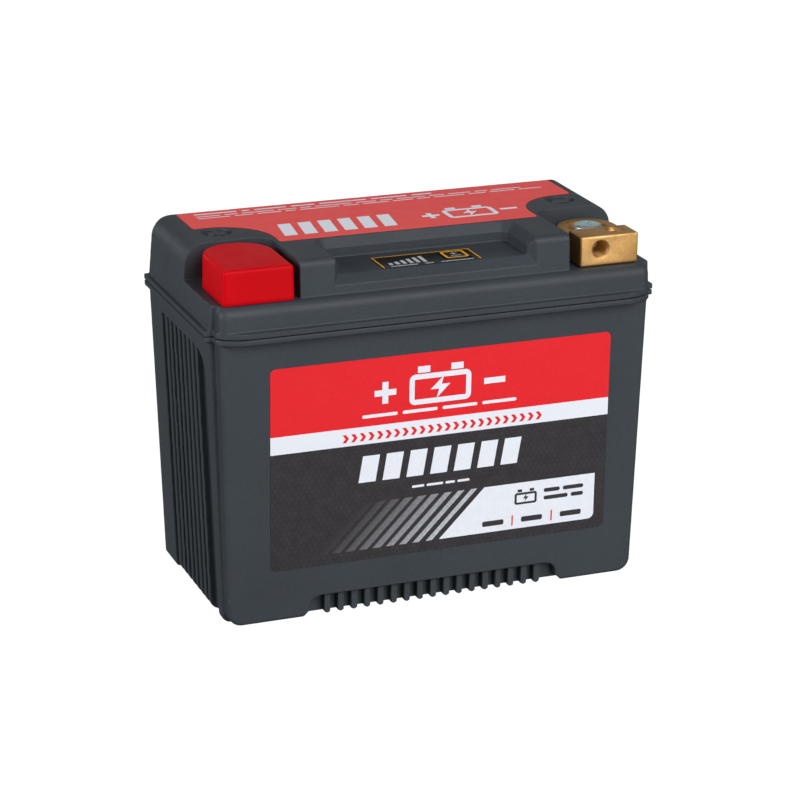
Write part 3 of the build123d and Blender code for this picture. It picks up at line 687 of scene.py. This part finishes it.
def gauge_shapes(top):
    """A row of seven slanted bars with short rules under it."""
    bars = [slanted_bar(-29.4 + 8.9 * n, top - 14.2, top - 4.4, width=6.3, lean=1.6) for n in range(7)]
    return bars + dashes(-9.4, top - 18.6, height=0.9, lengths=[4.6, 6.2, 3.6, 4.6], gap=0.9)


def stripe_shapes():
    """Slanted stripes left of the white panel, wider the further they are from it."""
    foot, top = PANEL_Z
    start, pitch = PANEL_X[0], 5.03
    return [slanted_bar(start - pitch * n, foot, top, 2.1 + 0.2 * min(n, 5), PANEL_SLANT)
            for n in range(1, 10)]


def panel_shape():
    """The white panel: slanted on the left, with one rounded corner at its lower right."""
    foot, top = PANEL_Z
    left, right = PANEL_X
    before_last_quarter = 3 * (CORNER_STEPS + 1)
    corner = rounded_loop(50.0, foot, right, top, radius=2.2)[before_last_quarter:]
    return [[(left, foot), *corner, (right, top), (left + PANEL_SLANT, top)]]


def rating_shapes():
    """The white panel's marks: a small battery and rows of rules where figures would be."""
    shapes = battery_sign(x=34.2, y=34.8, width=8.6, height=5.6, thick=0.85)
    shapes.append(bolt_shape(x=34.2, y=34.4, width=2.2, height=3.1))
    shapes += dashes(x0=41.2, y0=35.5, height=1.5, lengths=[6.2, 8.0], gap=1.2)
    shapes += dashes(x0=41.2, y0=32.6, height=1.5, lengths=[9.4, 4.8], gap=1.2)
    shapes += [bar(x, 25.2, x + 8.2, 27.2, radius=0.6) for x in (17.6, 32.6, 47.8)]
    return shapes


def make_front_print():
    """The front label's colours and pictograms, on its slightly leaning face."""
    low, high = corners("front_label")
    back = high.y - LABEL_THICK
    lean = (back - low.y) / (high.z - low.z)
    face = PrintedFace((0, back + lean * low.z, 0), (1, 0, 0), (0, -lean, 1))
    red_foot = high.z - RED_BAND
    white_foot = red_foot - WHITE_BAND
    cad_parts["front_label"].data.materials[0] = front_film("front_film", red_foot, white_foot)
    white = printed_ink("white_ink", WHITE_INK)
    red = printed_ink("red_ink", RED_INK)
    black = printed_ink("black_ink", DARK_INK)
    foot, top = PANEL_Z
    silver = fading_ink("fading_silver_ink", -45.0, 0.0, foot, PANEL_SLANT / (top - foot))

    chevrons = [
        chevron(-35.4 + 3.15 * n, white_foot + 1.3, white_foot + 4.3, stroke=1.3, reach=1.1)
        for n in range(24)]
    dividers = [bar(x, 24.2, x + 0.55, 28.2) for x in (28.9, 44.1)]
    print_shapes("front_emblem", face, emblem_shapes(red_foot), white)
    print_shapes("stripe_chevrons", face, chevrons, red)
    print_shapes("charge_gauge", face, gauge_shapes(white_foot), white)
    print_shapes("fading_stripes", face, stripe_shapes(), silver)
    print_shapes("rating_panel", face, [panel_shape()], white)
    second = 2 * INK_LIFT
    print_shapes("rating_marks", face, rating_shapes(), black, lift=second)
    print_shapes("rating_dividers", face, dividers, red, lift=second)


def make_top_print():
    """The top label's red film and white pictograms."""
    top = corners("top_label")[1].z
    face = PrintedFace((0, 0, top), (1, 0, 0), (0, 1, 0))
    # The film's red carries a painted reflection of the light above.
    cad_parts["top_label"].data.materials[0] = printed_ink("top_film", TOP_RED_WITH_PAINTED_SHEEN, 0.42)
    white = printed_ink("top_white_ink", WHITE_INK, 0.42)
    left = -66.5
    heading = [16, 3, 12, 9, 18, 14, 8]
    second_line = [9, 5, 12, 7, 4, 14, 8, 5, 11, 6, 9, 5, 12]
    third_line = [12, 7, 9, 4, 15, 6, 10, 8, 5, 12, 7, 10, 9]
    shapes = dashes(left, 29.6, height=1.2, lengths=heading, gap=1.8)
    shapes += dashes(left, 26.8, height=0.8, lengths=second_line, gap=1.5)
    shapes += dashes(left, 24.4, height=0.8, lengths=third_line, gap=1.5)
    shapes += [slanted_bar(-44.6 + 7.4 * n, -6.2, 8.6, width=4.8, lean=2.0) for n in range(6)]
    shapes += battery_sign(x=27.6, y=2.2, width=19.0, height=13.0, thick=1.7)
    shapes.append(bolt_shape(x=27.6, y=1.2, width=6.0, height=7.4))
    shapes.append(plus_sign(x=12.6, y=1.4, size=6.6, thick=1.9))
    shapes.append(minus_sign(x=42.6, y=1.4, size=6.6, thick=1.9))
    print_shapes("top_print", face, shapes, white)


def make_charge_print():
    """The charge indicator's film: a yellow border open at the front, and six rising bars."""
    low, high = corners("charge_label")
    face = PrintedFace((0, 0, high.z), (1, 0, 0), (0, 1, 0))
    film = printed_ink("charge_film", (0.006, 0.006, 0.007), 0.3)
    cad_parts["charge_label"].data.materials[0] = film
    yellow = printed_ink("yellow_ink", YELLOW_INK, 0.35)
    grey = printed_ink("grey_ink", SILVER_INK, 0.35)
    line, edge = 0.55, 0.25
    x0, x1, y0, y1 = low.x + edge, high.x - edge, low.y + 0.1, high.y - edge
    border = [bar(x0, y0, x0 + line, y1), bar(x1 - line, y0, x1, y1),
              bar(x0 + line, y1 - line, x1 - line, y1)]
    print_shapes("charge_border", face, border, yellow)
    bars = [bar(-14.9 + 2.5 * n, -30.4, -13.5 + 2.5 * n, -28.0 + 0.95 * n) for n in range(6)]
    bars += dashes(x0=-15.1, y0=low.y + 0.5, height=0.75, lengths=[9.8, 3.2, 12.2], gap=2.7)
    print_shapes("charge_bars", face, bars, grey)
    make_button_print(yellow, grey)


def make_button_print(yellow, grey):
    """The test button's black film, yellow rim and two small signs."""
    low, high = corners("test_button")
    middle = (low + high) / 2
    edge = 0.3
    black = printed_ink("button_black", (0.008, 0.008, 0.009), 0.3)
    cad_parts["test_button"].data.materials[0] = black
    face = PrintedFace((0, 0, high.z), (1, 0, 0), (0, 1, 0))
    rim = frame_shape(
        low.x + edge, low.y + edge, high.x - edge, high.y - edge, radius=1.1, thick=0.95)
    print_shapes("button_border", face, [rim], yellow, body="test_button")
    sign = [minus_sign(middle.x, middle.y - 1.5, size=3.6, thick=0.5),
            plus_sign(middle.x, middle.y + 0.9, size=2.2, thick=0.5)]
    print_shapes("button_sign", face, sign, grey, body="test_button")


# material name: the nodes that wear it, and the function that makes it
INNER_FINISHES = {
    "rubber_seal": (("lid_seal",), lambda name: plain_finish(name, (0.012, 0.012, 0.013), 0.75)),
    "zinc_plate": (("terminal_screws", "terminal_washers", "indicator_screws"), plated_steel),
    "insert_brass": (("terminal_inserts",), cast_brass),
    "black_moulding": (("switch_plunger", "test_switch", "power_transistors", "balance_resistors"),
                       lambda name: plain_finish(name, (0.015, 0.015, 0.016), 0.5)),
    "clear_acrylic": (("charge_lights",),
                      lambda name: plain_finish(name, (0.72, 0.78, 0.76), 0.15, spread=0.04)),
    "solder_mask": (("indicator_board", "management_board"), circuit_finish),
    "polyester_ribbon": (("indicator_cable",), lambda name: plain_finish(name, (0.7, 0.66, 0.55), 0.4)),
    "blue_sleeve": (("cell_1", "cell_2", "cell_3", "cell_4"),
                    lambda name: plain_finish(name, (0.03, 0.12, 0.38), 0.3, grain=150.0)),
    "milled_aluminium": (("cell_tabs",),
                         lambda name: plain_finish(name, (0.78, 0.79, 0.8), 0.3, metallic=1.0)),
    "bare_copper": (("series_links", "positive_strap", "negative_strap", "sense_pins"),
                    lambda name: plain_finish(name, (0.8, 0.36, 0.2), 0.28, metallic=1.0, grain=500.0)),
    "fibre_sheet": (("cell_spacers",),
                    lambda name: plain_finish(name, (0.5, 0.44, 0.32), 0.85, depth=0.08)),
    "closed_foam": (("end_pads", "base_pad"),
                    lambda name: plain_finish(name, (0.02, 0.02, 0.022), 0.9, depth=0.2)),
    "woven_tape": (("cell_straps",), lambda name: woven_finish(name, (0.45, 0.38, 0.12))),
    "natural_nylon": (("board_standoffs",), lambda name: plain_finish(name, (0.7, 0.69, 0.64), 0.45)),
}


def finish_inner_pieces():
    """Materials for the pieces that keep their CAD shape."""
    for name, (nodes, make) in INNER_FINISHES.items():
        material = make(name)
        for node in nodes:
            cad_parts[node].data.materials[0] = material


# ---------------------------------------------------------------- stage
def make_floor():
    """White paper that glows for the camera only, so that it casts no light on the battery."""
    half = FLOOR_SIZE / 2
    outline = [(-half, -half, 0), (half, -half, 0), (half, half, 0), (-half, half, 0)]
    mesh = bpy.data.meshes.new("floor")
    mesh.from_pydata([Vector(point) * MM for point in outline], [], [(0, 1, 2, 3)])
    floor = bpy.data.objects.new("floor", mesh)
    floor.location.z = -FLOOR_DROP * MM
    bpy.context.scene.collection.objects.link(floor)
    shader = Shader("white_paper")
    tone = shader.fit(shader.noise(scale=40.0), *COMMON_NOISE)
    paper = shader.mix(tone, (0.09, 0.09, 0.09), (0.1, 0.1, 0.1))
    mesh.materials.append(shader.finish(
        Base_Color=paper, Roughness=0.9, Specular_IOR_Level=0.1,
        Emission_Color=(1.0, 1.0, 1.0), Emission_Strength=FLOOR_GLOW))
    floor.visible_diffuse = False
    floor.visible_glossy = False
    floor.visible_shadow = False


def make_lights():
    """A dim white world and the softboxes."""
    world = bpy.data.worlds.new("studio")
    bpy.context.scene.world = world
    world.use_nodes = True
    background = world.node_tree.nodes["Background"]
    background.inputs["Color"].default_value = (1.0, 1.0, 1.0, 1.0)
    background.inputs["Strength"].default_value = WORLD_STRENGTH

    for name, place, target, (width, height), power in SOFTBOXES:
        lamp = bpy.data.lights.new(name, "AREA")
        lamp.shape = "RECTANGLE"
        lamp.size, lamp.size_y = width * MM, height * MM
        lamp.energy = power
        light = bpy.data.objects.new(name, lamp)
        light.location = Vector(place) * MM
        aim = Vector(target) - Vector(place)
        light.rotation_euler = aim.to_track_quat("-Z", "Y").to_euler()
        bpy.context.scene.collection.objects.link(light)


def make_camera():
    """The camera, placed and turned."""
    lens = bpy.data.cameras.new("camera")
    lens.lens = CAMERA_LENS
    camera = bpy.data.objects.new("camera", lens)
    camera.location = Vector(CAMERA_PLACE) * MM
    aim = Euler((radians(90 - CAMERA_ELEVATION), 0, radians(CAMERA_AZIMUTH))).to_matrix()
    roll = Matrix.Rotation(radians(CAMERA_ROLL), 3, "Z")
    camera.rotation_euler = (aim @ roll).to_euler()
    bpy.context.scene.collection.objects.link(camera)
    bpy.context.scene.camera = camera


bpy.context.scene.view_settings.view_transform = "Standard"
make_camera()
make_floor()
make_lights()
make_shells()
brass = cast_brass("terminal_brass")
make_terminal("positive_block", "positive_terminal", -1, brass)
make_terminal("negative_block", "negative_terminal", 1, brass)
make_cap()
finish_inner_pieces()
make_front_print()
make_top_print()
make_charge_print()
